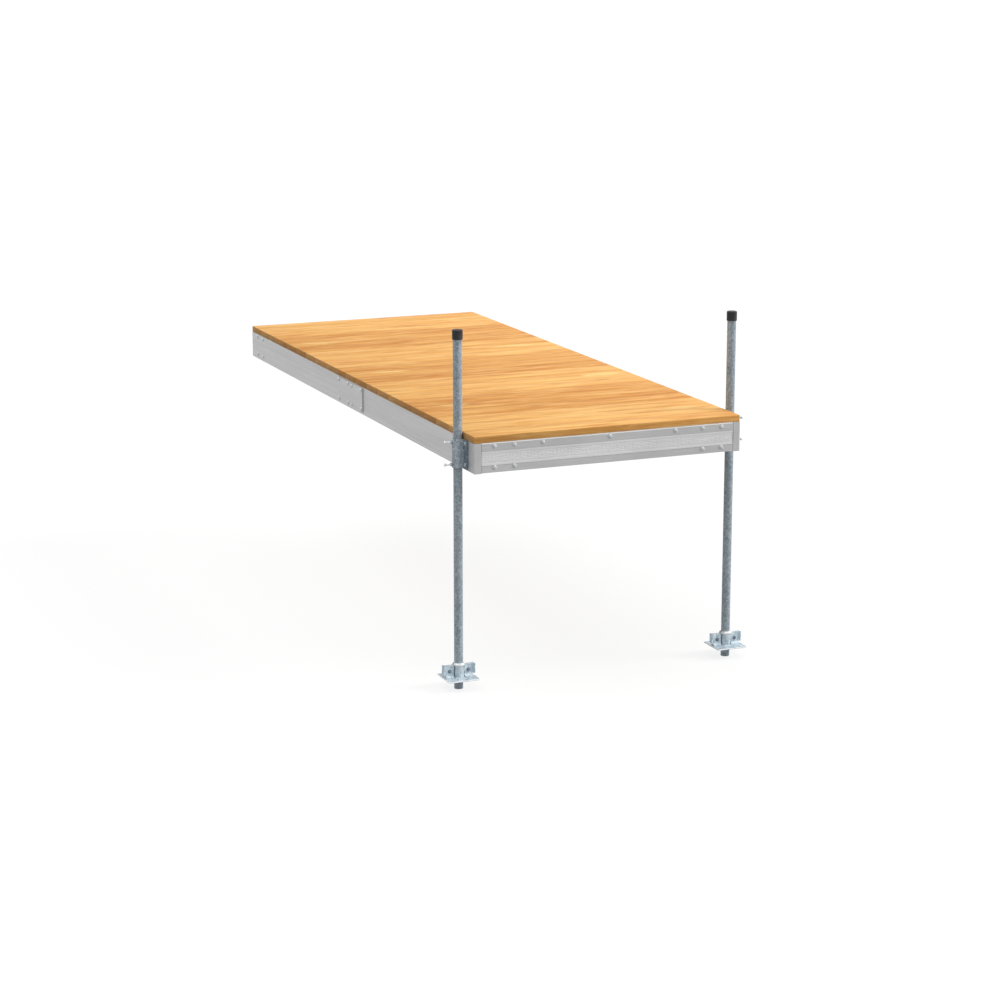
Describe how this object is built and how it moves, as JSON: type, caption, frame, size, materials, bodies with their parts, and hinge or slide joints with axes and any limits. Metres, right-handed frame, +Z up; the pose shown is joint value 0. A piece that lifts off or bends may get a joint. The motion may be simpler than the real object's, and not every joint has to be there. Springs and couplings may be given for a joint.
{
  "type": "jetty bay",
  "caption": "Sectional jetty bay: wooden plank deck on a bolted aluminium frame, with pipe legs that slide in side clamps and stand on feet at its outer end.",
  "frame": {"origin": "middle of the lower flat band on the outer face of the end rail without legs, the shore end", "axes": "+Z up, +Y out of the shore end along the jetty, +X to the right seen from the lake end"},
  "size_m": [1.4022, 3.048, 1.5275],
  "materials": {
    "cedar_deck": "matte",
    "mill_aluminium": "satin",
    "ribbed_aluminium": "satin",
    "galvanised_steel": "satin",
    "zinc_steel": "satin",
    "black_vinyl": "satin"
  },
  "bodies": {
    "bay": {"cross_beam": "mill_aluminium", "deck_panel_1": "cedar_deck", "deck_panel_2": "cedar_deck", "deck_panel_3": "cedar_deck", "deck_panel_4": "cedar_deck", "deck_panel_5": "cedar_deck", "deck_panel_6": "cedar_deck", "deck_panel_7": "cedar_deck", "far_end_rail": "mill_aluminium", "far_end_strip": "ribbed_aluminium", "far_left_corner_angle": "mill_aluminium", "far_left_end_cap": "mill_aluminium", "far_right_corner_angle": "mill_aluminium", "far_right_end_cap": "mill_aluminium", "left_leg_holder": "galvanised_steel", "left_set_screws": "zinc_steel", "left_side_rail_far": "mill_aluminium", "left_side_rail_near": "mill_aluminium", "left_splice_plate": "mill_aluminium", "left_stringer_far": "mill_aluminium", "left_stringer_near": "mill_aluminium", "middle_stringer_far": "mill_aluminium", "middle_stringer_near": "mill_aluminium", "near_end_rail": "mill_aluminium", "near_end_strip": "ribbed_aluminium", "near_left_corner_angle": "mill_aluminium", "near_left_end_cap": "mill_aluminium", "near_right_corner_angle": "mill_aluminium", "near_right_end_cap": "mill_aluminium", "right_leg_holder": "galvanised_steel", "right_set_screws": "zinc_steel", "right_side_rail_far": "mill_aluminium", "right_side_rail_near": "mill_aluminium", "right_splice_plate": "mill_aluminium", "right_stringer_far": "mill_aluminium", "right_stringer_near": "mill_aluminium"},
    "left_leg": {"left_foot_far_half": "zinc_steel", "left_foot_near_half": "zinc_steel", "left_leg_cap": "black_vinyl", "left_leg_pipe": "galvanised_steel"},
    "right_leg": {"right_foot_far_half": "zinc_steel", "right_foot_near_half": "zinc_steel", "right_leg_cap": "black_vinyl", "right_leg_pipe": "galvanised_steel"}
  },
  "joints": [
    {"name": "left_leg_slide", "type": "slide", "parent": "bay", "child": "left_leg", "axis": [0, 0, 1], "range_m": [-0.378, 0.82]},
    {"name": "right_leg_slide", "type": "slide", "parent": "bay", "child": "right_leg", "axis": [0, 0, 1], "range_m": [-0.378, 0.82]}
  ]
}
